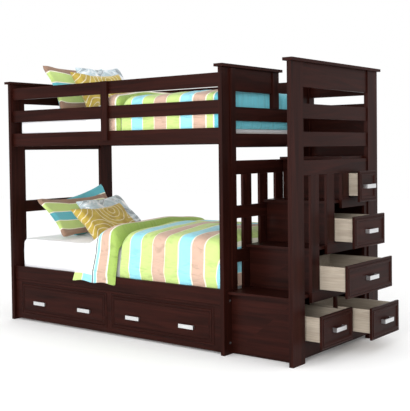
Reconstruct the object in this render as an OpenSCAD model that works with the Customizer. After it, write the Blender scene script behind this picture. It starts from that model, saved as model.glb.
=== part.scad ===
// Twin over twin bunk bed with a drawer staircase and a trundle drawer.
// X runs from the head end to the stair end, Y from the front to the wall side, Z up.

/* [Frame] */
// Distance from the head posts to the stair side of the middle posts
bunk_length = 1988; // [1960:1:2100]
// Width of the stair tower beyond the middle posts
tower_width = 490; // [470:1:560]
// Depth across the posts
bed_depth = 1060; // [1055:1:1120]
// Height of the posts under their caps
post_height = 1752; // [1735:1:1850]
// Thickness of a post board
post_thick = 28; // [24:1:36]
// Width of a post board
post_width = 130; // [120:1:134]
// Thickness of a cap
cap_thick = 18; // [12:1:24]
// How far a cap reaches past the posts
cap_reach = 18; // [8:1:24]

/* [Rails] */
// Height of the board under each cap
panel_height = 142; // [120:1:150]
// Height of an upper cross rail
rail_height = 86; // [70:1:92]
// Height of a lower cross rail
low_rail_height = 78; // [60:1:84]
// Thickness of cross rails, slats and panels
rail_thick = 18; // [15:1:20]
// Height of a guard rail
guard_height = 85; // [60:1:90]
// Height of a bed side rail
side_height = 96; // [86:1:96]
// Thickness of a bed side rail
side_thick = 20; // [18:1:22]
// Setback of the side rails behind the post faces
side_setback = 20; // [14:1:20]
// Width of an upright slat in the end frames
slat_width = 90; // [70:1:94]
// Spacing of the upright slats
slat_pitch = 184; // [180:1:184]

/* [Stair] */
// Height of the first tread
first_step = 389; // [380:1:392]
// Rise between treads
step_rise = 270; // [262:1:272]
// Run between treads
step_run = 197; // [190:1:199]
// Thickness of a tread
tread_thick = 18; // [15:1:22]
// How far a tread stands out past its riser
nosing = 40; // [25:1:42]

/* [Drawers] */
// Height of a stair drawer front
front_height = 194; // [180:1:196]
// Thickness of a drawer front
front_thick = 18; // [16:1:20]
// Length of a stair drawer box
box_length = 430; // [380:1:440]
// Thickness of the drawer box boards
box_thick = 12; // [9:1:14]
// Length of a bar handle
handle_length = 118; // [90:1:125]
// Height of a bar handle
handle_height = 25; // [16:1:28]
// Distance each stair drawer stands open, bottom front to top
open_rest = [100, 220, 175, 125, 65];

/* [Trundle] */
// Height of the trundle front
trundle_height = 288; // [240:1:288]
// Depth of the trundle frame
trundle_depth = 940; // [800:1:960]
// Diameter of a trundle wheel
wheel_diameter = 50; // [40:1:54]

/* [Bedding] */
// Thickness of the upper mattress
upper_mattress_thick = 165; // [140:1:170]
// Thickness of the lower mattress
lower_mattress_thick = 240; // [180:1:250]
// Thickness of a comforter
comforter_thick = 120; // [30:1:125]

/* [Hidden] */
$fn = 48;

gap = 0.4;
wood = "#3a2320";
pale_wood = "#d8c3a0";
steel = "#c4c6c8";
rubber_grey = "#3b3b3d";
sheet_white = "#f1f1ee";
comforter_green = "#dff0a4";
pillow_aqua = "#bfe3ea";

// Places of the three end frames along the bed
head_x = 0;
middle_x = bunk_length - post_thick;
outer_x = bunk_length + tower_width - post_thick;
frame_x = [head_x, middle_x, outer_x];
rear_post_y = bed_depth - post_width;
bed_start = post_thick;
bed_end = middle_x;
stair_start = bunk_length;
stair_end = outer_x;

// Cross rails stand 8 mm behind the stair side of the posts
rail_inset = 2;
end_rail_x = post_thick - rail_thick - 8;
panel_bottom = post_height - panel_height;
rail_2 = 1428;
rail_3 = 1264;
rail_4 = 1097;
rail_5 = 826;
rail_6 = 554;
rail_7 = 286;
foot_rail = 28;

// Side and guard rail bottoms
guard_top_z = 1635;
guard_mid_z = 1469;
upper_side_z = 1290;
lower_side_z = 304;
side_front_y = side_setback;
side_rear_y = bed_depth - side_setback - side_thick;
inner_front_y = side_setback + side_thick;
inner_rear_y = side_rear_y;
batten_width = 59;
batten_bottom = upper_side_z + 32;
batten_top = guard_top_z + guard_height;
bed_middle_x = (bed_start + bed_end) / 2;

entry_post_y = 558;
entry_post_width = 70;
first_slat_y = 224;

ledger_size = 30;
bed_slat_thick = 15;
bed_slat_width = 68;
bed_slat_count = 13;
upper_slat_top = 1341;
lower_slat_top = 360;

// Stair levels: tread tops, nosings and riser faces
levels = [0, 1, 2, 3];
function tread_top(i) = first_step + i * step_rise;
function nosing_y(i) = 40 + i * step_run;
function riser_y(i) = nosing_y(i) + nosing;
// The face rail under each drawer level steps up with the stair
function face_rail_top(i) = tread_top(i) + 12;
face_rail_height = 62;
base_rail_height = 94;
face_stile_y = 505;
face_stile_width = 24;
rear_stile_y = 888;
riser_thick = 18;
side_panel_thick = 14;
stair_rear_y = side_rear_y;
stair_rear_bottom = [1195, 1350, 1600];
stair_rear_top = [1329, 1545, 1727];
stair_batten_thick = 10;

// Drawers: front left edge, front right edge, bottom
drawer_left = [138, 524, 306, 490, 674];
drawer_right = [510, 896, 896, 896, 896];
drawer_bottom = [90, 90, 368, 641, 913];
front_plane = outer_x + post_thick - 7;
drawer_side_inset = 20;
box_bottom_inset = 38;
box_top_inset = 14;
box_front_x = front_plane;
mould_width = 22;
mould_raise = 4;
handle_thick = 8;
handle_reach = 24;
handle_foot = 10;
runner_size = 10;

// Trundle
trundle_front_y = 22;
trundle_bottom = 14;
trundle_margin = 4;
trundle_left = bed_start + trundle_margin;
trundle_right = bed_end - trundle_margin;
trundle_frame_y = trundle_front_y + front_thick;
trundle_side_z = 62;
trundle_side_height = 120;
trundle_slat_z = 96;
trundle_slat_count = 9;
panel_border = 60;
panel_middle_gap = 36;
panel_raise = 6;
axle_z = wheel_diameter / 2;
wheel_width = 24;
wheel_x = [260, 1728];
wheel_y = [72, 918];
trundle_bearer = 50;
wheel_bore = 8.4;
axle_diameter = 8;

mattress_length = 1905;
mattress_width = 965;
mattress_x = bed_start + (bed_end - bed_start - mattress_length) / 2;
mattress_y = (bed_depth - mattress_width) / 2;
corner = 30;
upper_mattress_z = upper_slat_top + gap;
lower_mattress_z = lower_slat_top + gap;
upper_top = upper_mattress_z + upper_mattress_thick;
lower_top = lower_mattress_z + lower_mattress_thick;

// The origin lies under the middle of the bed with its drawers standing open
reach_left = -cap_reach;
reach_right = front_plane + open_rest[1] + front_thick + handle_reach;
centre_x = (reach_left + reach_right) / 2;
centre_y = bed_depth / 2;

module place() {
    translate([-centre_x, -centre_y, 0]) children();
}

module board(low, high) {
    translate(low) cube(high - low);
}

// A flat board across an end frame, between its two posts
module cross_rail(x, bottom, height, y_from = post_width, y_to = rear_post_y) {
    board([x + end_rail_x, y_from, bottom], [x + end_rail_x + rail_thick, y_to, bottom + height]);
}

// An upright slat between two rails
module slat(x, y, bottom, top) {
    board([x + end_rail_x, y, bottom + gap], [x + end_rail_x + rail_thick, y + slat_width, top - gap]);
}

// A flat cap board over the posts of a frame
module cap(x, y_from, y_to) {
    low = [x - cap_reach, y_from];
    size = [post_thick + 2 * cap_reach, y_to - y_from];
    translate([low.x, low.y, post_height + gap]) cube([size.x, size.y, cap_thick - gap]);
}

module posts() {
    place() color(wood)
        for (x = frame_x, y = [0, rear_post_y])
            board([x, y, 0], [x + post_thick, y + post_width, post_height]);
}

module entry_post() {
    place() color(wood)
        board([middle_x, entry_post_y, rail_2 + rail_height + gap],
            [middle_x + post_thick, entry_post_y + entry_post_width, post_height]);
}

module end_caps() {
    place() color(wood)
        for (x = [head_x, outer_x])
            cap(x, -cap_reach, bed_depth + cap_reach);
}

module middle_caps() {
    place() color(wood) {
        cap(middle_x, -cap_reach, entry_post_y + entry_post_width + cap_reach);
        cap(middle_x, rear_post_y - cap_reach, bed_depth + cap_reach);
    }
}

module end_panels() {
    place() color(wood)
        for (x = [head_x, outer_x])
            cross_rail(x, panel_bottom, panel_height);
}

module middle_panel() {
    place() color(wood)
        cross_rail(middle_x, panel_bottom, panel_height, y_to = entry_post_y);
}

module head_rails() {
    place() color(wood) {
        for (z = [rail_2, rail_3])
            cross_rail(head_x, z, rail_height);
        for (z = [rail_5 - 30, rail_7 + 20, foot_rail])
            cross_rail(head_x, z, rail_height);
    }
}

module middle_rails() {
    place() color(wood) {
        for (z = [rail_2, rail_3, rail_4])
            cross_rail(middle_x, z, rail_height);
        for (z = [rail_5, rail_6, rail_7, foot_rail])
            cross_rail(middle_x, z, low_rail_height);
    }
}

module outer_rails() {
    place() color(wood)
        for (z = [rail_2, rail_3, rail_4])
            cross_rail(outer_x, z, rail_height);
}

module middle_slats() {
    place() color(wood)
        for (i = levels) {
            y = first_slat_y + i * slat_pitch;
            slat(middle_x, y, rail_5 + low_rail_height, rail_4);
            slat(middle_x, y, rail_6 + low_rail_height, rail_5);
            slat(middle_x, y, rail_7 + low_rail_height, rail_6);
        }
}

module outer_slats() {
    place() color(wood)
        for (i = [0, 1, 2])
            slat(outer_x, first_slat_y + i * slat_pitch, face_rail_top(i), rail_4);
}

module stair_face_rails() {
    place() color(wood) {
        cross_rail(outer_x, foot_rail, base_rail_height);
        for (i = [0, 1, 2])
            cross_rail(outer_x, face_rail_top(i) - face_rail_height, face_rail_height,
                y_from = first_slat_y + i * slat_pitch);
    }
}

// A stile between two face rails
module face_stile(y_from, y_to, bottom, top) {
    x = outer_x + end_rail_x;
    board([x, y_from, bottom + gap], [x + rail_thick, y_to, top - gap]);
}

module stair_face_stiles() {
    base_top = foot_rail + base_rail_height;
    first_bottom = face_rail_top(0) - face_rail_height;
    place() color(wood) {
        face_stile(face_stile_y, face_stile_y + face_stile_width, base_top, first_bottom);
        face_stile(rear_stile_y, rear_post_y, base_top, first_bottom);
        for (i = [0, 1])
            face_stile(rear_stile_y, rear_post_y, face_rail_top(i), face_rail_top(i + 1) - face_rail_height);
        face_stile(rear_stile_y, rear_post_y, face_rail_top(2), rail_4);
    }
}

module side_rails() {
    place() color(wood)
        for (y = [side_front_y, side_rear_y], z = [upper_side_z, lower_side_z])
            board([bed_start, y, z], [bed_end, y + side_thick, z + side_height]);
}

module guard_rails() {
    place() color(wood)
        for (y = [side_front_y, side_rear_y], z = [guard_top_z, guard_mid_z])
            board([bed_start, y, z], [bed_end, y + side_thick, z + guard_height]);
}

module guard_battens() {
    place() color(wood)
        for (y = [0, bed_depth - side_setback])
            board([bed_middle_x - batten_width / 2, y, batten_bottom],
                [bed_middle_x + batten_width / 2, y + side_setback, batten_top]);
}

module slat_ledgers() {
    place() color(wood)
        for (y = [inner_front_y, inner_rear_y - ledger_size], top = [upper_slat_top, lower_slat_top])
            board([bed_start + 10, y, top - bed_slat_thick - ledger_size - gap],
                [bed_end - 10, y + ledger_size, top - bed_slat_thick - gap]);
}

module bed_slats(top) {
    pitch = (mattress_length - bed_slat_width - 20) / (bed_slat_count - 1);
    for (i = [0 : bed_slat_count - 1]) {
        x = mattress_x + 10 + i * pitch;
        board([x, inner_front_y + 2, top - bed_slat_thick], [x + bed_slat_width, inner_rear_y - 2, top]);
    }
}

module upper_bed_slats() {
    place() color(pale_wood) bed_slats(upper_slat_top);
}

module lower_bed_slats() {
    place() color(pale_wood) bed_slats(lower_slat_top);
}

module stair_rear_rails() {
    place() color(wood)
        for (i = [0, 1, 2])
            board([stair_start + stair_batten_thick + gap, side_rear_y, stair_rear_bottom[i]],
                [stair_end, side_rear_y + side_thick, stair_rear_top[i]]);
}

module stair_battens() {
    place() color(wood) {
        board([stair_start, 80, first_step + gap], [stair_start + stair_batten_thick, 130, post_height - 4]);
        board([stair_start, bed_depth - 63, tread_top(3) + gap],
            [stair_start + stair_batten_thick, bed_depth, post_height - 4]);
    }
}

module stair_treads() {
    place() color(wood)
        for (i = [0, 1, 2])
            board([stair_start, nosing_y(i), tread_top(i) - tread_thick],
                [stair_end, riser_y(i + 1) + riser_thick, tread_top(i)]);
}

module stair_landing() {
    place() color(wood)
        board([stair_start, nosing_y(3), tread_top(3) - tread_thick],
            [stair_end, stair_rear_y - gap, tread_top(3)]);
}

module stair_risers() {
    place() color(wood)
        for (i = levels) {
            low = i == 0 ? 5 : tread_top(i - 1) + gap;
            board([stair_start, riser_y(i), low],
                [stair_end, riser_y(i) + riser_thick, tread_top(i) - tread_thick - gap]);
        }
}

module stair_side_panels() {
    place() color(wood)
        for (i = levels) {
            y_to = i == 3 ? stair_rear_y - gap : riser_y(i + 1) + riser_thick - gap;
            board([stair_start, riser_y(i) + riser_thick, foot_rail],
                [stair_start + side_panel_thick, y_to, tread_top(i) - tread_thick - gap]);
        }
}

module stair_back_panel() {
    place() color(wood)
        board([stair_start, stair_rear_y, foot_rail],
            [stair_end, stair_rear_y + 12, tread_top(3) - 6]);
}

// Two wooden runners under the sides carry each drawer box
module drawer_runners() {
    place() color(pale_wood)
        for (i = [0 : 4]) {
            z = drawer_bottom[i] + box_bottom_inset - runner_size - gap;
            for (y = [drawer_left[i] + drawer_side_inset, drawer_right[i] - drawer_side_inset - runner_size])
                board([stair_start + side_panel_thick, y, z],
                    [stair_end + rail_inset, y + runner_size, z + runner_size]);
        }
}

// A drawer box of separate boards: two sides, a back, an inner front and a bottom
module drawer_box(i) {
    y0 = drawer_left[i] + drawer_side_inset;
    y1 = drawer_right[i] - drawer_side_inset;
    z0 = drawer_bottom[i] + box_bottom_inset;
    z1 = drawer_bottom[i] + front_height - box_top_inset;
    x1 = box_front_x + open_rest[i];
    x0 = x1 - box_length;
    place() color(pale_wood) {
        for (y = [y0, y1 - box_thick])
            board([x0, y, z0], [x1, y + box_thick, z1]);
        for (x = [x0, x1 - box_thick])
            board([x, y0 + box_thick + gap, z0], [x + box_thick, y1 - box_thick - gap, z1]);
        board([x0 + box_thick + gap, y0 + box_thick + gap, z0],
            [x1 - box_thick - gap, y1 - box_thick - gap, z0 + 6]);
    }
}

// A drawer front with a raised border moulding
module drawer_front(i) {
    size_y = drawer_right[i] - drawer_left[i];
    x = front_plane + open_rest[i];
    place() color(wood)
        translate([x, drawer_left[i], drawer_bottom[i]])
            difference() {
                cube([front_thick, size_y, front_height]);
                translate([front_thick - mould_raise, mould_width, mould_width])
                    cube([mould_raise + 1, size_y - 2 * mould_width, front_height - 2 * mould_width]);
            }
}

// A flat bar handle on two feet, lying along Y with its back at the origin
module bar_handle(reach) {
    translate([reach - handle_thick, -handle_length / 2, -handle_height / 2])
        cube([handle_thick, handle_length, handle_height]);
    for (side = [-1, 1])
        translate([0, side * (handle_length - handle_foot) / 2 - handle_foot / 2, -handle_height / 2])
            cube([reach - handle_thick - gap, handle_foot, handle_height]);
}

module drawer_handle(i) {
    place() color(steel)
        translate([front_plane + open_rest[i] + front_thick - mould_raise,
            (drawer_left[i] + drawer_right[i]) / 2, drawer_bottom[i] + front_height / 2])
            bar_handle(handle_reach + mould_raise);
}

module drawer_box_1() drawer_box(0);
module drawer_box_2() drawer_box(1);
module drawer_box_3() drawer_box(2);
module drawer_box_4() drawer_box(3);
module drawer_box_5() drawer_box(4);
module drawer_front_1() drawer_front(0);
module drawer_front_2() drawer_front(1);
module drawer_front_3() drawer_front(2);
module drawer_front_4() drawer_front(3);
module drawer_front_5() drawer_front(4);
module drawer_handle_1() drawer_handle(0);
module drawer_handle_2() drawer_handle(1);
module drawer_handle_3() drawer_handle(2);
module drawer_handle_4() drawer_handle(3);
module drawer_handle_5() drawer_handle(4);

trundle_panel_length = (trundle_right - trundle_left - 2 * panel_border - panel_middle_gap) / 2;
panel_left = [trundle_left + panel_border, trundle_right - panel_border - trundle_panel_length];

module trundle_front() {
    place() color(wood)
        board([trundle_left, trundle_front_y, trundle_bottom],
            [trundle_right, trundle_front_y + front_thick, trundle_bottom + trundle_height]);
}

module trundle_panels() {
    panel_low = trundle_bottom + 33;
    panel_high = trundle_bottom + trundle_height - 15;
    place() color(wood)
        for (x = panel_left)
            board([x, trundle_front_y - panel_raise, panel_low],
                [x + trundle_panel_length, trundle_front_y, panel_high]);
}

module trundle_frame() {
    y0 = trundle_frame_y;
    y1 = trundle_front_y + trundle_depth;
    x0 = trundle_left + 24;
    x1 = trundle_right - 24;
    z1 = trundle_side_z + trundle_side_height;
    place() color(wood) {
        for (x = [x0, x1 - front_thick])
            board([x, y0 + gap, trundle_side_z], [x + front_thick, y1, z1]);
        board([x0 + front_thick + gap, y1 - front_thick, trundle_side_z],
            [x1 - front_thick - gap, y1, z1]);
        for (y = [y0 + gap, y1 - front_thick - gap - trundle_bearer])
            board([x0 + front_thick + gap, y, trundle_slat_z - ledger_size],
                [x1 - front_thick - gap, y + trundle_bearer, trundle_slat_z]);
    }
}

module trundle_slats() {
    x0 = trundle_left + 24 + front_thick + 4;
    x1 = trundle_right - 24 - front_thick - 4;
    pitch = (x1 - x0 - bed_slat_width) / (trundle_slat_count - 1);
    place() color(pale_wood)
        for (i = [0 : trundle_slat_count - 1])
            board([x0 + i * pitch, trundle_frame_y + 2, trundle_slat_z + gap],
                [x0 + i * pitch + bed_slat_width, trundle_front_y + trundle_depth - front_thick - 2,
                    trundle_slat_z + bed_slat_thick]);
}

module trundle_handles() {
    handle_z = trundle_bottom + 129;
    place() color(steel)
        for (x = panel_left, part = [0.24, 0.76])
            translate([x + part * trundle_panel_length, trundle_front_y - panel_raise, handle_z])
                rotate([0, 0, -90])
                    bar_handle(handle_reach - 8);
}

// A caster bracket: a top plate, two cheeks and the axle between them
module trundle_casters() {
    cheek = 3;
    plate = 4;
    plate_z = trundle_slat_z - ledger_size - plate;
    cheek_gap = wheel_width / 2 + 2;
    place() color(steel)
        for (x = wheel_x, y = wheel_y)
            translate([x, y, 0]) {
                translate([-cheek_gap - cheek, -15, plate_z])
                    cube([2 * (cheek_gap + cheek), 30, plate - gap]);
                for (side = [-1, 1])
                    translate([side * (cheek_gap + cheek / 2) - cheek / 2, -12, axle_z - 8])
                        cube([cheek, 24, plate_z - axle_z + 8 - gap]);
                translate([-cheek_gap + gap, 0, axle_z])
                    rotate([0, 90, 0]) cylinder(d = axle_diameter, h = 2 * (cheek_gap - gap));
            }
}

module trundle_wheel(x, y) {
    place() color(rubber_grey)
        translate([x - wheel_width / 2, y, axle_z])
            rotate([0, 90, 0])
                difference() {
                    cylinder(d = wheel_diameter, h = wheel_width);
                    translate([0, 0, -1]) cylinder(d = wheel_bore, h = wheel_width + 2);
                }
}

module trundle_wheel_1() trundle_wheel(wheel_x[0], wheel_y[0]);
module trundle_wheel_2() trundle_wheel(wheel_x[1], wheel_y[0]);
module trundle_wheel_3() trundle_wheel(wheel_x[0], wheel_y[1]);
module trundle_wheel_4() trundle_wheel(wheel_x[1], wheel_y[1]);

// Round bolt heads with a hexagon socket, standing on the post faces
module bolt_head(direction) {
    head = 3;
    translate([direction > 0 ? gap : -head - gap, 0, 0])
        rotate([0, 90, 0])
            difference() {
                cylinder(d = 14, h = head);
                translate([0, 0, direction > 0 ? 1 : -1]) cylinder(d = 7, h = head, $fn = 6);
            }
}

module frame_bolts() {
    place() color(steel) {
        for (z = [lower_side_z + 26, 70], y = [60, bed_depth - 14])
            translate([stair_start, y, z]) bolt_head(1);
        for (z = [lower_side_z + 26, lower_side_z + 70, upper_side_z + 26, upper_side_z + 70],
            y = [side_front_y + side_thick / 2, side_rear_y + side_thick / 2])
            translate([0, y, z]) bolt_head(-1);
    }
}

// A block with softly rounded upright edges
module soft_block(low, high, round) {
    translate([low.x + round, low.y + round, low.z])
        linear_extrude(high.z - low.z)
            hull()
                for (x = [0, high.x - low.x - 2 * round], y = [0, high.y - low.y - 2 * round])
                    translate([x, y]) circle(r = round, $fn = 24);
}

module mattress(z, thick) {
    soft_block([mattress_x, mattress_y, z],
        [mattress_x + mattress_length, mattress_y + mattress_width, z + thick], corner);
}

module upper_mattress() {
    place() color(sheet_white) mattress(upper_mattress_z, upper_mattress_thick);
}

module lower_mattress() {
    place() color(sheet_white) mattress(lower_mattress_z, lower_mattress_thick);
}

module comforter(z, start) {
    soft_block([start, mattress_y, z + gap],
        [mattress_x + mattress_length, mattress_y + mattress_width, z + comforter_thick], corner);
}

module upper_comforter() {
    place() color(comforter_green) comforter(upper_top, 900);
}

module lower_comforter() {
    place() color(comforter_green) comforter(lower_top, 830);
}

// A pillow leaning back towards the head end: middle, size, lean and the mattress under it
module leaning_pillow(middle, size, lean, top) {
    translate([middle.x, middle.y, top + middle.z])
        rotate([0, -lean, 0])
            cube(size, center = true);
}

// Four pillows in a row: two shams, a printed one and a cushion
module pillow_row(middles, lean, top) {
    sizes = [[60, 420, 300], [80, 720, 380], [70, 480, 350], [60, 580, 300]];
    for (i = [0 : 3])
        leaning_pillow(middles[i], sizes[i], lean, top);
}

module upper_pillows() {
    middles = [[145, 780, 200], [252, 560, 202], [362, 670, 200], [487, 520, 150]];
    place() color(pillow_aqua) pillow_row(middles, 32, upper_top);
}

module lower_pillows() {
    middles = [[190, 720, 145], [288, 478, 162], [418, 640, 155], [562, 465, 124]];
    place() color(pillow_aqua) pillow_row(middles, 50, lower_top);
}

posts();
entry_post();
end_caps();
middle_caps();
end_panels();
middle_panel();
head_rails();
middle_rails();
outer_rails();
middle_slats();
outer_slats();
stair_face_rails();
stair_face_stiles();
side_rails();
guard_rails();
guard_battens();
slat_ledgers();
upper_bed_slats();
lower_bed_slats();
stair_rear_rails();
stair_battens();
stair_treads();
stair_landing();
stair_risers();
stair_side_panels();
stair_back_panel();
drawer_runners();
drawer_box_1();
drawer_box_2();
drawer_box_3();
drawer_box_4();
drawer_box_5();
drawer_front_1();
drawer_front_2();
drawer_front_3();
drawer_front_4();
drawer_front_5();
drawer_handle_1();
drawer_handle_2();
drawer_handle_3();
drawer_handle_4();
drawer_handle_5();
trundle_front();
trundle_panels();
trundle_frame();
trundle_slats();
trundle_handles();
trundle_casters();
trundle_wheel_1();
trundle_wheel_2();
trundle_wheel_3();
trundle_wheel_4();
frame_bolts();
upper_mattress();
lower_mattress();
upper_comforter();
lower_comforter();
upper_pillows();
lower_pillows();
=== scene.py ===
import bpy
import bmesh
import math
from mathutils import Matrix, Vector, noise
from mathutils.bvhtree import BVHTree


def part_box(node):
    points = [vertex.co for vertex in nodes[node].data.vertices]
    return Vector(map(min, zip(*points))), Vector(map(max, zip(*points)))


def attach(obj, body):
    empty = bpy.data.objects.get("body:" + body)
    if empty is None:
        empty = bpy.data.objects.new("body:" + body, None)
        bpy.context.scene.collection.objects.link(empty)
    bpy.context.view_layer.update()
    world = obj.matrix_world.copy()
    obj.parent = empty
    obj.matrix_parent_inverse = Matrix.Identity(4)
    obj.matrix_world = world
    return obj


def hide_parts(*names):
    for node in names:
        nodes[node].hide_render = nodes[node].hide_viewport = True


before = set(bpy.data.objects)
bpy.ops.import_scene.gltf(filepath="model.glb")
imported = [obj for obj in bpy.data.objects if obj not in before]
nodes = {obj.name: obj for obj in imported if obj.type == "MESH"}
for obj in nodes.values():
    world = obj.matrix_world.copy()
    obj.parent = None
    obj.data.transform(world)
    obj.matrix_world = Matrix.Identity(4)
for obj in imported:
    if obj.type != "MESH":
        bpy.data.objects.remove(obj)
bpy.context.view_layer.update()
print("frame loaded,", len(nodes), "nodes")

bed = {
    "headX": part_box("posts")[0].x,          # outer face of the head posts
    "frontY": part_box("posts")[0].y,         # front face of the posts
    "middleX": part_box("middle_rails")[0].x, # head side of the middle frame
}


def at(x, y, z):
    return Vector((bed["headX"] + x, bed["frontY"] + y, z))


cameraSetup = {
    "place": (5.0536, -4.0801, 1.2606),  # from the foot of the front head post
    "yaw": 0.665,
    "pitch": -0.032,
    "roll": -0.0118,
    "lens": 74.48,
    "sensor": 36,
    "shiftY": -0.0732,
    "near": 0.1,
    "far": 60,
}


def makeCamera(s):
    data = bpy.data.cameras.new("mainCamera")
    cam = bpy.data.objects.new("mainCamera", data)
    bpy.context.scene.collection.objects.link(cam)
    yaw, pitch, roll = s["yaw"], s["pitch"], s["roll"]
    ahead = Vector((-math.sin(yaw) * math.cos(pitch), math.cos(yaw) * math.cos(pitch), math.sin(pitch)))
    side = Vector((math.cos(yaw), math.sin(yaw), 0))
    up = side.cross(ahead)
    right = math.cos(roll) * side + math.sin(roll) * up
    top = -math.sin(roll) * side + math.cos(roll) * up
    turn = Matrix((right, top, -ahead)).transposed()
    cam.matrix_world = Matrix.Translation(at(*s["place"])) @ turn.to_4x4()
    data.sensor_fit = "HORIZONTAL"
    data.sensor_width = s["sensor"]
    data.lens = s["lens"]
    data.shift_y = s["shiftY"]
    data.clip_start, data.clip_end = s["near"], s["far"]
    bpy.context.scene.camera = cam


makeCamera(cameraSetup)

studio = {
    "key": {"place": (3.2, -5.6, 2.2), "size": 3.0, "power": 170},
    "fill": {"place": (-1.6, -6.4, 1.6), "size": 3.6, "power": 130},
    "side": {"place": (6.6, 0.4, 2.6), "size": 3.0, "power": 60},
    "skyStrength": 1.0,
    "aimHeight": 0.8,
}


def makeLight(name, s):
    data = bpy.data.lights.new(name, "AREA")
    data.shape = "DISK"
    data.size = s["size"]
    data.energy = s["power"]
    lamp = bpy.data.objects.new(name, data)
    bpy.context.scene.collection.objects.link(lamp)
    lamp.location = s["place"]
    lamp.rotation_mode = "QUATERNION"
    aim = Vector(s["place"]) - Vector((0, 0, studio["aimHeight"]))
    lamp.rotation_quaternion = aim.to_track_quat("Z", "Y")


for lampName in ("key", "fill", "side"):
    makeLight(lampName + "Light", studio[lampName])
world = bpy.data.worlds.new("studioWorld")
bpy.context.scene.world = world
world.use_nodes = True
sky = world.node_tree.nodes["Background"]
sky.inputs["Color"].default_value = (1, 1, 1, 1)
sky.inputs["Strength"].default_value = studio["skyStrength"]
bpy.context.scene.view_settings.view_transform = "Standard"


class Finish:
    def __init__(self, name, roughness=0.5, **sockets):
        self.material = bpy.data.materials.new(name)
        self.material.use_nodes = True
        self.tree = self.material.node_tree
        self.shader = self.tree.nodes["Principled BSDF"]
        self.shader.inputs["Roughness"].default_value = roughness
        for socket, value in sockets.items():
            self.shader.inputs[socket.replace("_", " ")].default_value = value

    def add(self, kind, inputs=None, **fields):
        node = self.tree.nodes.new("ShaderNode" + kind)
        for field, value in fields.items():
            setattr(node, field, value)
        for key, value in (inputs or {}).items():
            if isinstance(value, bpy.types.NodeSocket):
                self.tree.links.new(value, node.inputs[key])
            else:
                node.inputs[key].default_value = value
        return node

    def ramp(self, factor, stops, mode="LINEAR"):
        node = self.add("ValToRGB", {"Fac": factor})
        node.color_ramp.interpolation = mode
        elements = node.color_ramp.elements
        for i, (place, color) in enumerate(stops):
            item = elements[i] if i < 2 else elements.new(place)
            item.position = place
            item.color = (*color, 1)
        return node.outputs["Color"]

    def maths(self, operation, a, b=0.5):
        return self.add("Math", {0: a, 1: b}, operation=operation).outputs[0]

    def mix(self, factor, a, b, blend="MIX"):
        node = self.add("Mix", {"Factor": factor}, data_type="RGBA", blend_type=blend)
        for slotIndex, value in ((6, a), (7, b)):
            if isinstance(value, bpy.types.NodeSocket):
                self.tree.links.new(value, node.inputs[slotIndex])
            else:
                node.inputs[slotIndex].default_value = (*value, 1)
        return node.outputs[2]

    def bump(self, height, strength, distance):
        node = self.add("Bump", {"Height": height, "Strength": strength, "Distance": distance})
        self.tree.links.new(node.outputs["Normal"], self.shader.inputs["Normal"])

    def wire(self, output, socket):
        self.tree.links.new(output, self.shader.inputs[socket])


def shade(hexText):
    parts = [int(hexText[i:i + 2], 16) / 255 for i in (0, 2, 4)]
    return tuple(c / 12.92 if c <= 0.04045 else ((c + 0.055) / 1.055) ** 2.4 for c in parts)


grainScale = {"x": (1.1, 26, 26), "y": (26, 1.1, 26), "z": (26, 26, 1.1)}


def woodFinish(name, axis, dark, light, roughness, poreDepth, **sockets):
    f = Finish(name, roughness, **sockets)
    coords = f.add("TexCoord").outputs["Object"]
    island = f.add("NewGeometry").outputs["Random Per Island"]
    shift = f.add("CombineXYZ", {
        0: f.maths("MULTIPLY", island, 7.3), 1: f.maths("MULTIPLY", island, 3.1), 2: island,
    })
    moved = f.add("VectorMath", {0: coords, 1: shift.outputs[0]}, operation="ADD").outputs[0]
    along = f.add("Mapping", {"Vector": moved, "Scale": grainScale[axis]}).outputs[0]
    poreScale = tuple(6 * v if v > 2 else 4 * v for v in grainScale[axis])
    fine = f.add("Mapping", {"Vector": moved, "Scale": poreScale})
    broad = f.add("TexNoise", {
        "Vector": along, "Scale": 1.0, "Detail": 5.0, "Distortion": 0.9,
    }).outputs["Fac"]
    pores = f.add("TexNoise", {"Vector": fine.outputs[0], "Scale": 1.6, "Detail": 3.0}).outputs["Fac"]
    base = f.ramp(broad, [(0.28, dark), (0.72, light)])
    streak = f.ramp(pores, [(0.42, (0.62, 0.62, 0.62)), (0.60, (1.0, 1.0, 1.0))])
    grained = f.mix(0.45, base, streak, "MULTIPLY")
    board = f.ramp(island, [(0.0, (0.86, 0.86, 0.86)), (1.0, (1.12, 1.10, 1.08))])
    f.wire(f.mix(0.8, grained, board, "MULTIPLY"), "Base Color")
    sheen = f.add("MapRange", {"Value": pores, "To Min": roughness - 0.07, "To Max": roughness + 0.10})
    f.wire(sheen.outputs[0], "Roughness")
    f.bump(pores, 0.25, poreDepth)
    return f.material


stain = {
    "dark": shade("1c0b08"), "light": shade("321510"),
    "roughness": 0.34, "poreDepth": 0.0005,
    "Specular_IOR_Level": 0.05,
}
stained = {axis: woodFinish("stained_wood_" + axis, axis, **stain) for axis in "xyz"}
birch = {
    axis: woodFinish("drawer_wood_" + axis, axis, shade("a39686"), shade("b9ad9d"), 0.6, 0.0004)
    for axis in "xy"
}
pine = woodFinish("slat_wood", "y", shade("b8935f"), shade("d9bd8c"), 0.62, 0.0005)


def metalFinish(name, tint, roughness, axis):
    f = Finish(name, roughness, Metallic=1.0)
    coords = f.add("TexCoord").outputs["Object"]
    scale = {"y": (900, 30, 900), "x": (30, 900, 900)}[axis]
    lines = f.add("TexNoise", {"Vector": f.add("Mapping", {"Vector": coords, "Scale": scale}).outputs[0],
                               "Scale": 1.0, "Detail": 4.0}).outputs["Fac"]
    f.wire(f.ramp(lines, [(0.3, tuple(0.86 * c for c in tint)), (0.7, tint)]), "Base Color")
    sheen = f.add("MapRange", {"Value": lines, "To Min": roughness - 0.08, "To Max": roughness + 0.12})
    f.wire(sheen.outputs[0], "Roughness")
    f.bump(lines, 0.15, 0.0002)
    return f.material


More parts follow.
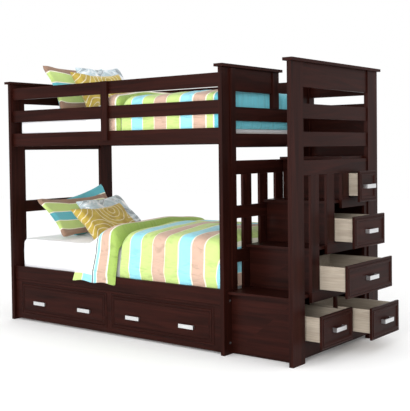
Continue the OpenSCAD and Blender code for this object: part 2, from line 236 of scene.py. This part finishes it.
brushedY = metalFinish("brushed_nickel_y", shade("d9dadb"), 0.34, "y")
brushedX = metalFinish("brushed_nickel_x", shade("d9dadb"), 0.34, "x")
zinc = metalFinish("zinc_plate", shade("a9abae"), 0.42, "x")

wheelFinish = Finish("wheel_rubber", 0.62)
grit = wheelFinish.add("TexNoise", {
    "Vector": wheelFinish.add("TexCoord").outputs["Object"], "Scale": 420.0, "Detail": 3.0,
}).outputs["Fac"]
wheelFinish.wire(wheelFinish.ramp(grit, [(0.3, shade("26272a")), (0.7, shade("37383b"))]), "Base Color")
wheelFinish.bump(grit, 0.3, 0.0004)

cloth = {
    "lime": shade("c1d982"), "limeDeep": shade("9cb85a"),
    # the deep aqua tone is a teal stripe colour on the shams, and on the upper comforter's foot drop it is
    # the aqua stripe darkened as painted shade
    "aqua": shade("94dcec"), "tealAndShadedAqua": shade("5fb9c8"),
    "tan": shade("cbaa96"), "brown": shade("957663"),
    "cream": shade("f2efda"), "white": shade("f4f4f7"), "navy": shade("3d5877"),
    "gold": shade("c4ab48"), "goldDeep": shade("a98f35"),
    "mist": shade("b9cdd6"), "mistDeep": shade("949fa6"),
}


def fabricFinish(name, color, weave=900.0, roughness=0.86, depth=0.0005, pucker=0.0):
    f = Finish(name, roughness, Sheen_Weight=0.25, Sheen_Roughness=0.45)
    coords = f.add("TexCoord")
    flat = coords.outputs["UV"]
    warp = f.add("TexWave", {"Vector": flat, "Scale": weave, "Distortion": 0.6}, bands_direction="X")
    weft = f.add("TexWave", {"Vector": flat, "Scale": weave, "Distortion": 0.6}, bands_direction="Y")
    thread = f.maths("MAXIMUM", warp.outputs["Fac"], weft.outputs["Fac"])
    cloud = f.add("TexNoise", {
        "Vector": coords.outputs["Object"], "Scale": 9.0, "Detail": 4.0,
    }).outputs["Fac"]
    tone = f.ramp(cloud, [(0.3, (0.93, 0.93, 0.93)), (0.7, (1.0, 1.0, 1.0))])
    knit = f.ramp(thread, [(0.0, (0.90, 0.90, 0.90)), (0.6, (1.0, 1.0, 1.0))])
    dye_and_crease_shade = f.mix(1.0, f.mix(1.0, color(f, flat), tone, "MULTIPLY"), knit, "MULTIPLY")
    f.bump(thread, 0.35, depth)
    # pucker sets the crease bump depth and also switches on the painted crease shade below
    if pucker:
        fold = f.add("Mapping", {"Vector": flat, "Scale": (11, 42, 1)}).outputs[0]
        crumple = f.add("TexNoise", {
            "Vector": fold, "Scale": 1.0, "Detail": 3.0, "Distortion": 0.8,
        }).outputs["Fac"]
        # painted shade: the cloth colour is darkened down to 0.80 in the crumple creases, standing in for
        # shade falling in the creases
        crease = f.ramp(crumple, [(0.30, (0.80, 0.80, 0.78)), (0.46, (1.0, 1.0, 1.0))])
        dye_and_crease_shade = f.mix(1.0, dye_and_crease_shade, crease, "MULTIPLY")
        second = f.add("Bump", {"Height": crumple, "Strength": 0.55, "Distance": pucker})
        first = f.shader.inputs["Normal"].links[0].from_node
        f.tree.links.new(second.outputs["Normal"], first.inputs["Normal"])
    f.wire(dye_and_crease_shade, "Base Color")
    return f.material


rampLimit = 32  # most stops that a colour ramp holds


def stripes(order, edge=0.008, along=0):
    total = sum(width for _, width in order)
    stops, place = [], 0.0
    for tone, width in order:
        stops.append((place / total, cloth[tone]))
        place += width
        if len(stops) < rampLimit - 1 and place < total - 0.001:
            stops.append(((place - edge) / total, cloth["cream"]))

    def color(f, flat):
        line = f.add("SeparateXYZ", {0: flat}).outputs[along]
        return f.ramp(f.maths("DIVIDE", line, total), stops, "CONSTANT")
    return color


def plain(tone):
    return lambda f, flat: f.ramp(f.add("TexNoise", {"Vector": flat, "Scale": 30.0}).outputs["Fac"],
                                  [(0.2, tuple(0.97 * c for c in cloth[tone])), (0.8, cloth[tone])])


ringCentres = ((0.0, 0.0, 0.0), (0.34, 0.10, 0.0), (0.62, 0.0, 0.0), (0.10, 0.34, 0.0), (0.50, 0.36, 0.0))


def scallops(f, flat):
    near = None
    for centre in ringCentres:
        away = f.add("VectorMath", {0: flat, 1: centre}, operation="DISTANCE").outputs["Value"]
        near = f.maths("MINIMUM", near, away) if near else away
    wobble = f.add("TexNoise", {"Vector": flat, "Scale": 14.0, "Detail": 2.0}).outputs["Fac"]
    bent = f.maths("ADD", near, f.maths("MULTIPLY", wobble, 0.03))
    arcs = f.maths("SINE", f.maths("MULTIPLY", bent, 150.0))
    tint = f.ramp(wobble, [(0.35, cloth["goldDeep"]), (0.65, cloth["gold"])])
    return f.mix(f.ramp(arcs, [(0.76, (0, 0, 0)), (0.96, (0.6, 0.6, 0.6))]), tint, cloth["cream"])


def swirls(f, flat):
    bent = f.add("TexNoise", {
        "Vector": flat, "Scale": 7.0, "Detail": 1.0, "Distortion": 1.6,
    }).outputs["Fac"]
    line = f.maths("ABSOLUTE", f.maths("SUBTRACT", bent, 0.5))
    body = f.ramp(bent, [(0.32, cloth["white"]), (0.44, cloth["mist"]), (0.58, cloth["mistDeep"])])
    return f.mix(f.ramp(line, [(0.006, (0.8, 0.8, 0.8)), (0.02, (0, 0, 0))]), body, cloth["white"])


# the deep aqua stripe at the foot drop is the aqua stripe with painted shade, where it hangs in shade
upperStripes = [("lime", 0.098), ("aqua", 0.100), ("lime", 0.100), ("tan", 0.104), ("lime", 0.112),
                ("aqua", 0.104), ("tan", 0.106), ("lime", 0.060), ("tealAndShadedAqua", 0.190), ("tan", 0.300)]
bodyStripes = [("lime", 0.098), ("aqua", 0.100), ("lime", 0.100), ("tan", 0.104), ("lime", 0.112),
               ("aqua", 0.104), ("tan", 0.106), ("lime", 0.110), ("aqua", 0.120), ("tan", 0.320)]
foldStripes = [("white", 0.165), ("navy", 0.015), ("aqua", 0.030), ("tan", 0.076), ("cream", 0.008),
               ("limeDeep", 0.20)]
hemStripes = [("lime", 0.080), ("aqua", 0.110), ("cream", 0.303)]
shamStripes = [("brown", 0.082), ("lime", 0.100), ("tealAndShadedAqua", 0.095), ("lime", 0.100),
               ("brown", 0.083)]
backStripes = [("tealAndShadedAqua", 0.110), ("brown", 0.080), ("lime", 0.095), ("tealAndShadedAqua", 0.095),
               ("brown", 0.080)]


def turnedCorner(hemWidth, hemLength):
    # the white turned-down sheet ends above the hem, where the under layer of the comforter shows
    def color(f, flat):
        parts = f.add("SeparateXYZ", {0: flat}).outputs
        inHem = f.maths("LESS_THAN", parts[1], hemWidth)
        beforeFold = f.maths("LESS_THAN", parts[0], hemLength)
        return f.mix(f.maths("MULTIPLY", inHem, beforeFold), stripes(foldStripes, 0.006)(f, flat),
                     stripes(hemStripes, 0.006)(f, flat))
    return color


fabrics = {
    "comforter": fabricFinish("comforter_cotton", stripes(bodyStripes), pucker=0.014),
    "upperComforter": fabricFinish("upper_comforter_cotton", stripes(upperStripes), pucker=0.014),
    "fold": fabricFinish("comforter_fold_cotton", turnedCorner(0.056, 0.163), pucker=0.012),
    "upperFold": fabricFinish("upper_fold_cotton", stripes(foldStripes, 0.006), pucker=0.012),
    "sham": fabricFinish("sham_cotton", stripes(shamStripes, 0.009, 1)),
    "backSham": fabricFinish("back_sham_cotton", stripes(backStripes, 0.009, 1)),
    "sheet": fabricFinish("sheet_cotton", plain("white"), 1200.0, 0.82, 0.0003),
    "gold": fabricFinish("gold_cushion_cotton", scallops),
    "mist": fabricFinish("swirl_pillow_cotton", swirls),
}
print("materials ready")


grainOf = {
    "posts": "z", "entry_post": "z", "end_caps": "y", "middle_caps": "y",
    "end_panels": "y", "middle_panel": "y", "head_rails": "y", "middle_rails": "y",
    "outer_rails": "y", "middle_slats": "z", "outer_slats": "z",
    "stair_face_rails": "y", "stair_face_stiles": "z", "side_rails": "x", "guard_rails": "x",
    "guard_battens": "z", "slat_ledgers": "x", "stair_rear_rails": "x", "stair_battens": "z",
    "stair_treads": "x", "stair_landing": "x", "stair_risers": "x", "stair_side_panels": "y",
    "stair_back_panel": "x", "trundle_front": "x", "trundle_frame": "x",
}


def paint(nodeName, material):
    obj = nodes[nodeName]
    if not obj.data.materials:
        obj.data.materials.append(material)
    for i in range(len(obj.material_slots)):
        obj.material_slots[i].material = material
    return obj


def softenEdges(obj, width, segments=2):
    bevel = obj.modifiers.new("softEdge", "BEVEL")
    bevel.width = width
    bevel.segments = segments
    bevel.limit_method = "ANGLE"
    bevel.angle_limit = math.radians(40)
    bevel.harden_normals = True


edge = {"board": 0.0022, "slat": 0.0018, "runner": 0.001, "drawerBox": 0.0012, "handle": 0.0014,
        "fitting": 0.0006, "wheel": 0.003, "moulding": 0.0009}
drawerCount = 5
wheelCount = 4
for nodeName, axis in grainOf.items():
    softenEdges(paint(nodeName, stained[axis]), edge["board"])
for nodeName in ("upper_bed_slats", "lower_bed_slats", "trundle_slats"):
    softenEdges(paint(nodeName, pine), edge["slat"])
softenEdges(paint("drawer_runners", birch["x"]), edge["runner"])
for i in range(1, drawerCount + 1):
    softenEdges(paint(f"drawer_box_{i}", birch["x"]), edge["drawerBox"])
    softenEdges(paint(f"drawer_handle_{i}", brushedY), edge["handle"])
softenEdges(paint("trundle_handles", brushedX), edge["handle"])
softenEdges(paint("trundle_casters", zinc), edge["fitting"])
softenEdges(paint("frame_bolts", zinc), edge["fitting"])
for i in range(1, wheelCount + 1):
    softenEdges(paint(f"trundle_wheel_{i}", wheelFinish.material), edge["wheel"], 3)
print("frame painted")


def addPiece(name, verts, faces, material, flats=None, smooth=True):
    mesh = bpy.data.meshes.new(name)
    mesh.from_pydata([tuple(v) for v in verts], [], faces)
    mesh.update()
    mesh.materials.append(material)
    if flats:
        layer = mesh.uv_layers.new(name="flat")
        for loop in mesh.loops:
            layer.data[loop.index].uv = flats[loop.vertex_index]
    for face in mesh.polygons:
        face.use_smooth = smooth
    obj = bpy.data.objects.new(name, mesh)
    bpy.context.scene.collection.objects.link(obj)
    return obj


def apply(obj):
    bpy.context.view_layer.update()
    depsgraph = bpy.context.evaluated_depsgraph_get()
    done = bpy.data.meshes.new_from_object(obj.evaluated_get(depsgraph))
    obj.modifiers.clear()
    obj.data = done


def smoothOnce(obj):
    sub = obj.modifiers.new("smooth", "SUBSURF")
    sub.levels = sub.render_levels = 1
    apply(obj)


def faceOutward(obj, mergeDistance=None):
    bm = bmesh.new()
    bm.from_mesh(obj.data)
    if mergeDistance:
        bmesh.ops.remove_doubles(bm, verts=bm.verts, dist=mergeDistance)
    bmesh.ops.recalc_face_normals(bm, faces=bm.faces)
    bm.to_mesh(obj.data)
    bm.free()


def steppedBoard(name, low, high, axis, rings, material):
    # rings are (inset from the edge, depth below the face), from the outer edge to the middle
    flip = -1 if axis == "-y" else 1
    verts, faces = [], []
    depthAxis = 0 if axis == "x" else 1
    wide = 1 - depthAxis
    face = high[depthAxis] if flip > 0 else low[depthAxis]
    back = low[depthAxis] if flip > 0 else high[depthAxis]

    def ring(inset, depth):
        for w, z in ((0, 0), (1, 0), (1, 1), (0, 1)):
            p = [0.0, 0.0, 0.0]
            p[depthAxis] = depth
            p[wide] = high[wide] - inset if w else low[wide] + inset
            p[2] = high[2] - inset if z else low[2] + inset
            verts.append(p)

    ring(0, back)
    for inset, depth in rings:
        ring(inset, face - flip * depth)
    for r in range(len(rings)):
        for k in range(4):
            a, b = r * 4 + k, r * 4 + (k + 1) % 4
            faces.append((a, b, b + 4, a + 4))
    faces.append((3, 2, 1, 0))
    last = len(rings) * 4
    faces.append((last, last + 1, last + 2, last + 3))
    obj = addPiece(name, verts, faces, material, smooth=False)
    faceOutward(obj)
    softenEdges(obj, edge["moulding"])
    return obj


frontMould = [(0.0, 0.0055), (0.0035, 0.0025), (0.012, 0.0025), (0.0135, 0.0048), (0.0165, 0.0048),
              (0.019, 0.0), (0.027, 0.0), (0.031, 0.0035), (0.0335, 0.0035), (0.036, 0.0065)]
trundleMould = [(0.0, 0.0045), (0.004, 0.0015), (0.012, 0.0015), (0.0135, 0.0040), (0.0165, 0.0040),
                (0.019, 0.0), (0.030, 0.0), (0.0325, 0.0032), (0.0355, 0.0032), (0.040, 0.0)]
for i in range(1, drawerCount + 1):
    low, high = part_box(f"drawer_front_{i}")
    front = steppedBoard(f"drawer_front_face_{i}", low, high, "x", frontMould, stained["y"])
    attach(front, f"drawer_{i}")
    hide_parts(f"drawer_front_{i}")
low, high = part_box("trundle_panels")
borderMiddle = 0.036
half = (high.x - low.x - borderMiddle) / 2
for side, start in (("left", low.x), ("right", high.x - half)):
    panel = steppedBoard("trundle_panel_" + side, Vector((start, low.y, low.z)),
                         Vector((start + half, high.y, high.z)), "-y", trundleMould, stained["x"])
    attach(panel, "trundle")
    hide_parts("trundle_panels")
print("fronts made")


def roundOver(p, q, core, radius, top):
    cx = min(p, core["x1"])
    cy = max(core["y0"], min(core["y1"], q))
    dx, dy = p - cx, q - cy
    drop = max(abs(dx), abs(dy))
    if drop < 1e-9:
        return Vector((p, q, top)), Vector((0, 0, 1)), p
    out = Vector((dx, dy, 0)).normalized()
    corner = Vector((cx, cy, top - radius))
    arc = radius * math.pi / 2
    if drop < arc:
        angle = drop / radius
        normal = out * math.sin(angle) + Vector((0, 0, math.cos(angle)))
        return corner + normal * radius, normal, cx + out.x * drop
    return corner + out * radius - Vector((0, 0, drop - arc)), out.copy(), cx + out.x * drop


def steps(start, end, count):
    return [start + (end - start) * i / (count - 1) for i in range(count)]


padding = {
    "railClearance": 0.004, "railRise": 0.06,   # where the padding starts to swell over a rail, and how fast
    "hemHeight": 0.05, "thinHem": 0.35,
    "crownCurve": 2.6,
    "seamDepth": 0.006, "seamWidth": 0.013,
    "creaseShare": 0.6, "sideCalm": 0.55,
    "liningDepth": 0.0015, "liningInset": 0.004,
    "hemRipple": 0.005, "hemWaves": 31,
    "wallHalfY": 0.5,                           # past this the hem lies inside the wall side rail
}


def held(point, room, inset):
    # keeps the padding between the rails and the end frames, and lets it swell over the top of a low rail
    past = (point.z - room["railTop"] - padding["railClearance"]) / padding["railRise"]
    over = min(1.0, max(0.0, past)) * room["overhang"]
    point.x = min(point.x, room["x1"] - inset)
    point.y = max(room["y0"] - over + inset, min(room["y1"] + over - inset, point.y))
    return point


def seamPlaces(order):
    places, place = [], 0.0
    for _, width in order:
        place += width
        places.append(place)
    return places


def lumps(place, seed):
    return noise.noise(Vector((place.x * 4.2, place.y * 4.6, place.z * 3.0 + seed)))


def creases(place, seed):
    return noise.noise(Vector((place.x * 15, place.y * 5.0 + place.z * 6, seed * 2)))


def quilt(name, s, material):
    # one closed padded sheet over the mattress, hanging at the front and the wall side
    # and, where the plan says so, at the foot
    radius, top, pad = s["radius"], s["top"], padding
    core = {"x1": s["footX"] - radius, "y0": s["frontY"] + radius, "y1": s["wallY"] - radius}
    reach = radius * math.pi / 2 + s["hang"]
    xs = steps(s["startX"], core["x1"] + reach if s["foot"] else s["footX"], s["columns"])
    if not s["foot"]:
        core["x1"] = s["footX"] + 1
    ys = steps(core["y0"] - reach, core["y1"] + reach, s["rows"])
    outer, inner, flats = [], [], []
    for p in xs:
        for q in ys:
            place, normal, along = roundOver(p, q, core, radius, top)
            headEnd = min(1.0, (p - s["startX"]) / s["headRound"])
            if s["slope"]:
                swell = headEnd * headEnd * (3 - 2 * headEnd)
            else:
                swell = math.sqrt(1 - (1 - headEnd) ** 2)
            tail = min(1.0, (xs[-1] - p) / s["endRound"]) if s["endRound"] else 1.0
            swell *= math.sqrt(max(0.0, 1 - (1 - tail) ** 2))
            side = 1 - normal.z
            hem = min(1.0, max(0.0, (place.z - s["bottom"]) / pad["hemHeight"]))
            fromMiddle = place.y - (s["frontY"] + s["wallY"]) / 2
            crown = s["crown"] * normal.z * math.cos(fromMiddle * pad["crownCurve"])
            soft = lumps(place, s["seed"]) * s["wave"]
            crease = creases(place, s["seed"]) * s["wave"] * pad["creaseShare"]
            seam = min(abs(along - s["startX"] - seamAt) for seamAt in s["seams"])
            full = pad["thinHem"] + (1 - pad["thinHem"]) * hem
            puff = s["puff"] * swell * full * (1 - s["sideFlat"] * side)
            puff -= min(pad["seamDepth"], puff * 0.5) * math.exp(-(seam / pad["seamWidth"]) ** 2)
            wave = (soft + crease) * (1 - pad["sideCalm"] * side) * hem
            lift = normal * (puff + wave) + Vector((0, 0, crown * swell))
            part = (p - xs[0]) / (xs[-1] - xs[0])
            flare = (s["flare"][0] * (1 - part) + s["flare"][1] * part) * max(0.0, top - place.z)
            place.x -= flare
            if place.y > bed["frontY"] + pad["wallHalfY"]:
                place.z = max(place.z, s["bottom"])
            place.z += pad["hemRipple"] * (1 - hem) * math.sin(place.x * pad["hemWaves"] + s["seed"])
            outer.append(held(place + lift, s["hold"], 0.0))
            inner.append(held(place - normal * pad["liningDepth"], s["hold"], pad["liningInset"]))
            flats.append((along - s["startX"], q - ys[0]))
    rows, cols = len(ys), len(xs)
    total = rows * cols
    faces = []
    for i in range(cols - 1):
        for j in range(rows - 1):
            a = i * rows + j
            faces.append((a, a + rows, a + rows + 1, a + 1))
            faces.append((total + a + 1, total + a + rows + 1, total + a + rows, total + a))
    border = [i * rows for i in range(cols)]
    border += [(cols - 1) * rows + j for j in range(1, rows)]
    border += [i * rows + rows - 1 for i in range(cols - 2, -1, -1)]
    border += list(range(rows - 2, 0, -1))
    for k, a in enumerate(border):
        b = border[(k + 1) % len(border)]
        faces.append((b, a, total + a, total + b))
    obj = addPiece(name, outer + inner, faces, material, flats + flats)
    faceOutward(obj)
    smoothOnce(obj)
    return obj


def mattress(name, nodeName, inset):
    low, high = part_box(nodeName)
    s = {"x0": low.x + inset, "x1": high.x - inset, "y0": low.y + inset, "y1": high.y - inset,
         "radius": 0.032, "crown": 0.006, "corner": 0.045, "cornerSteps": 8, "longestStep": 0.05,
         "bulge": 0.004, "ripple": 0.0022}
    r = s["radius"]
    thick = high.z - low.z
    levels = [0.0, 0.004, 0.012, r, thick * 0.34, thick * 0.66, thick - r, thick - 0.018, thick - 0.008]
    outline = []
    corner = s["corner"]
    left, right = s["x0"] + corner, s["x1"] - corner
    front, rear = s["y0"] + corner, s["y1"] - corner
    for cx, cy, start in ((right, front, -90), (right, rear, 0), (left, rear, 90), (left, front, 180)):
        for k in range(s["cornerSteps"] + 1):
            a = math.radians(start + k * 90 / s["cornerSteps"])
            cosine, sine = math.cos(a), math.sin(a)
            outline.append((cx + corner * cosine, cy + corner * sine, cosine, sine))
    dense = []
    for k, point in enumerate(outline):
        after = outline[(k + 1) % len(outline)]
        span = math.hypot(after[0] - point[0], after[1] - point[1])
        parts = max(1, int(span / s["longestStep"]))
        for m in range(parts):
            w = m / parts
            dense.append(tuple(point[t] * (1 - w) + after[t] * w for t in range(4)))
    verts, flats = [], []
    mid = ((s["x0"] + s["x1"]) / 2, (s["y0"] + s["y1"]) / 2)
    rings = []
    for z in levels:
        edge = min(z, thick - z)
        pull = r - math.sqrt(max(0.0, r * r - max(0.0, r - edge) ** 2)) if edge < r else 0.0
        pull -= s["bulge"] * math.sin(math.pi * z / thick)
        rings.append([(x - nx * pull, y - ny * pull, low.z + z) for x, y, nx, ny in dense])
    for scale in (0.985, 0.96, 0.9, 0.8, 0.65, 0.45, 0.2):
        z = thick + s["crown"] * (1 - scale) * 2
        rings.append([(mid[0] + (x - mid[0]) * scale, mid[1] + (y - mid[1]) * scale,
                       low.z + min(z, thick + s["crown"])) for x, y, _, _ in dense])
    for ring in rings:
        for x, y, z in ring:
            ripple = s["ripple"] * noise.noise(Vector((x * 9, y * 9, z * 7)))
            verts.append((x, y, z + ripple if z > low.z + r else z))
            flats.append((x, y + z))
    n = len(dense)
    faces = []
    for k in range(len(rings) - 1):
        for m in range(n):
            a, b = k * n + m, k * n + (m + 1) % n
            faces.append((a, b, b + n, a + n))
    faces.append(tuple(range(n - 1, -1, -1)))
    top = (len(rings) - 1) * n
    faces.append(tuple(range(top, top + n)))
    obj = addPiece(name, verts, faces, fabrics["sheet"], flats)
    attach(obj, "bed")
    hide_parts(nodeName)
    return obj


mattressInset = 0.014  # leaves room for the comforter between the mattress and the rails
for level in ("upper", "lower"):
    mattress(level + "_mattress_sheeted", level + "_mattress", mattressInset)
print("mattresses made")


lowRailAboveTrundle = 0.099  # top of the low side rails above the top of the trundle front
railReach = 0.042            # from the front of the posts to just inside the side rails


def comforterPlan(mattressNode, startX, seed, puff, crown):
    low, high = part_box(mattressNode)
    return {
        "startX": at(startX, 0, 0).x, "footX": high.x - 0.004,
        "frontY": low.y - 0.001, "wallY": high.y + 0.001,
        "top": high.z + 0.014, "bottom": low.z + 0.012,
        "radius": 0.036, "hang": high.z - low.z - 0.020 - 0.036, "foot": True,
        "columns": 104, "rows": 84, "headRound": 0.09, "endRound": 0, "slope": False,
        "puff": puff, "crown": crown, "wave": 0.014, "seed": seed,
        "flare": (0, 0), "sideFlat": 0.72, "seams": seamPlaces(bodyStripes),
        "hold": {
            "railTop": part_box("trundle_front")[1].z + lowRailAboveTrundle, "overhang": 0,
            "x1": bed["middleX"] - 0.003,
            "y0": bed["frontY"] + railReach,
            "y1": low.y + high.y - bed["frontY"] - railReach,
        },
    }


comforters = {
    "lower": {"start": 1.108, "seed": 3.0, "puff": 0.080, "crown": 0.050, "body": "comforter",
              "fold": "fold", "foldStart": 0.752, "foldEnd": 1.104, "slopeLength": 0.28},
    "upper": {"start": 1.112, "seed": 8.0, "puff": 0.074, "crown": 0.050, "body": "upperComforter",
              "fold": "upperFold", "foldStart": 0.775, "foldEnd": 1.108, "slopeLength": 0.28},
}
for level, s in comforters.items():
    plan = comforterPlan(level + "_mattress", s["start"], s["seed"], s["puff"], s["crown"])
    band = dict(plan)
    band.update(startX=at(s["foldStart"], 0, 0).x, footX=at(s["foldEnd"], 0, 0).x, foot=False,
                columns=56, headRound=s["slopeLength"], slope=True, puff=plan["puff"] + 0.026,
                seed=plan["seed"] + 5, endRound=0.055, seams=seamPlaces(foldStripes)[-3:])
    if level == "lower":  # this fold hangs over the outside of the side rail
        plan["hold"]["overhang"] = 0.024
        plan["sideFlat"] = 0.45
        plan["flare"] = (0.16, 0)
        band["flare"] = (0.40, 0.16)
        band["frontY"] = bed["frontY"] + 0.0155
        band["hold"] = dict(plan["hold"], y0=bed["frontY"] - 0.006, overhang=0)
        band["hang"] += 0.046
    for suffix, shape, fabric in (("quilt", plan, s["body"]), ("fold", band, s["fold"])):
        piece = quilt(f"{level}_comforter_{suffix}", shape, fabrics[fabric])
        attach(piece, "bed")
        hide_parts(level + "_comforter")
print("comforters made")


filling = {"start": 0.30, "quickStart": 0.57, "roundness": 0.62, "frames": 22, "spare": 0.03, "quality": 6,
           "mass": 0.25, "stretch": 12, "shear": 6, "bend": 0.35}


def pillowShape(name, s, material):
    cols, rows = s["cells"]
    width, height, thick = s["size"]
    verts, flats = [], []
    for side in (1, -1):
        for i in range(cols + 1):
            for j in range(rows + 1):
                u, v = 2 * i / cols - 1, 2 * j / rows - 1
                waist = 1 - s["pinch"] * (1 - v * v)
                belly = 1 - s["pinch"] * (1 - u * u)
                fat = max(0.0, (1 - u ** 4) * (1 - v ** 4)) ** filling["roundness"]
                z = side * thick * filling["start"] * fat
                verts.append(Vector((u * width / 2 * waist, v * height / 2 * belly, z)))
                flats.append(((u + 1) / 2 * width, (1 - v) / 2 * height))
    faces = []
    stride = rows + 1
    half = (cols + 1) * stride
    for i in range(cols):
        for j in range(rows):
            a = i * stride + j
            faces.append((a, a + stride, a + stride + 1, a + 1))
            faces.append((half + a + 1, half + a + stride + 1, half + a + stride, half + a))
    obj = addPiece(name, verts, faces, material, flats)
    faceOutward(obj, mergeDistance=0.0002)
    return obj


def inflate(obj, s):
    rest = [v.co.copy() for v in obj.data.vertices]
    modifier = obj.modifiers.new("filling", "CLOTH")
    c = modifier.settings
    c.quality = filling["quality"]
    c.mass = filling["mass"]
    c.tension_stiffness = c.compression_stiffness = filling["stretch"]
    c.shear_stiffness = filling["shear"]
    c.bending_stiffness = filling["bend"]
    c.use_pressure = True
    c.uniform_pressure_force = s["pressure"]
    c.shrink_min = -filling["spare"]
    c.effector_weights.gravity = 0
    modifier.collision_settings.use_collision = False
    scene = bpy.context.scene
    for number in range(1, filling["frames"] + 1):
        scene.frame_set(number)
    apply(obj)
    for v, start in zip(obj.data.vertices, rest):
        move = v.co - start
        if move.length > s["cap"]:
            v.co = start + move.normalized() * s["cap"]
    scene.frame_set(1)


def place(obj, centre, lean, spin, turn):
    # local x is the width, y the height and z the thickness; the pillow faces the foot of the bed
    stand = Matrix(((0, 0, 1), (1, 0, 0), (0, 1, 0))).to_4x4()
    move = Matrix.Translation(centre) @ Matrix.Rotation(turn, 4, "Z") @ Matrix.Rotation(-lean, 4, "Y")
    obj.data.transform(move @ Matrix.Rotation(spin, 4, "X") @ stand)


pillowKinds = {
    "sham": {"size": (0.75, 0.46, 0.13), "cells": (46, 30), "pinch": 0.03, "pressure": 3.0, "cap": 0.040},
    "backSham": {"size": (0.70, 0.44, 0.13), "cells": (44, 28), "pinch": 0.03, "pressure": 3.0, "cap": 0.040},
    "mist": {"size": (0.52, 0.40, 0.11), "cells": (34, 28), "pinch": 0.045, "pressure": 3.4, "cap": 0.022},
    "gold": {"size": (0.56, 0.34, 0.10), "cells": (38, 26), "pinch": 0.09, "pressure": 3.6, "cap": 0.018},
}
pillowBases = {}
for kind, s in pillowKinds.items():
    base = pillowShape(kind + "_base", s, fabrics[kind])
    inflate(base, s)
    smoothOnce(base)
    pillowBases[kind] = base
print("pillows filled")

# kind; middle from the head post, from the front post and above the mattress; lean, spin, turn in degrees
pillowSpots = {
    "lower": [
        ("backSham", 0.178, 0.650, 0.160, 32, 12, 2),
        ("sham", 0.290, 0.478, 0.160, 48, 0, 0),
        ("mist", 0.425, 0.640, 0.152, 47, 5, 1),
        ("gold", 0.584, 0.440, 0.126, 48, 3, -1),
    ],
    "upper": [
        ("backSham", 0.125, 0.640, 0.210, 18, 5, 2),
        ("sham", 0.240, 0.560, 0.222, 31, 0, 0),
        ("mist", 0.368, 0.670, 0.232, 30, 4, 1),
        ("gold", 0.490, 0.510, 0.196, 31, 2, 0),
    ],
}
pillowRoom = {
    "headX": 0.034, "wallY": 1.016,     # clear of the head rails and of the wall side rails
    "above": 0.011, "between": 0.007,   # over the mattress and from pillow to pillow
    "reach": 0.12,                      # how deep a pillow may be pressed in
}


def restOn(obj, behind, away):
    # a pillow gives way where it leans on the one behind it
    corners = [v.co for v in behind.data.vertices]
    tree = BVHTree.FromPolygons(corners, [tuple(p.vertices) for p in behind.data.polygons])
    for v in obj.data.vertices:
        hit, normal, _, _ = tree.ray_cast(v.co, away, pillowRoom["reach"])
        if hit is not None and normal.dot(away) > 0:
            v.co = hit + away * pillowRoom["between"]


def layPillows(level, mattressNode, replaced, spots):
    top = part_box(mattressNode)[1].z
    laid = []
    for number, (kind, x, y, z, lean, spin, turn) in enumerate(spots, 1):
        base = pillowBases[kind]
        obj = bpy.data.objects.new(f"{level}_{kind}_pillow_{number}", base.data.copy())
        bpy.context.scene.collection.objects.link(obj)
        tilt = math.radians(lean)
        place(obj, at(x, y, top + z), tilt, math.radians(spin), math.radians(turn))
        nearest = at(pillowRoom["headX"], pillowRoom["wallY"], top + pillowRoom["above"])
        # flat only where it rests on the mattress, the head rails or the wall rails
        for v in obj.data.vertices:
            v.co = (max(v.co.x, nearest.x), min(v.co.y, nearest.y), max(v.co.z, nearest.z))
        for other in laid:
            restOn(obj, other, Vector((math.cos(tilt), 0, math.sin(tilt))))
        laid.append(obj)
        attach(obj, "bed")
        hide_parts(replaced)


for level in ("lower", "upper"):
    layPillows(level, level + "_mattress", level + "_pillows", pillowSpots[level])
for base in pillowBases.values():
    bpy.data.objects.remove(base)
print("pillows laid")


floorFinish = Finish("studio_floor", 0.7, Emission_Color=(1, 1, 1, 1), Emission_Strength=0.05)
speck = floorFinish.add("TexNoise", {"Scale": 3.0}).outputs["Fac"]
paleStops = [(0.3, (0.95, 0.95, 0.95)), (0.7, (0.97, 0.97, 0.97))]
floorFinish.wire(floorFinish.ramp(speck, paleStops), "Base Color")
reach = 14
corners = [(-reach, -reach, 0), (reach, -reach, 0), (reach, reach, 0), (-reach, reach, 0)]
floor = addPiece("studioFloor", corners, [(0, 1, 2, 3)], floorFinish.material)

print("scene ready")
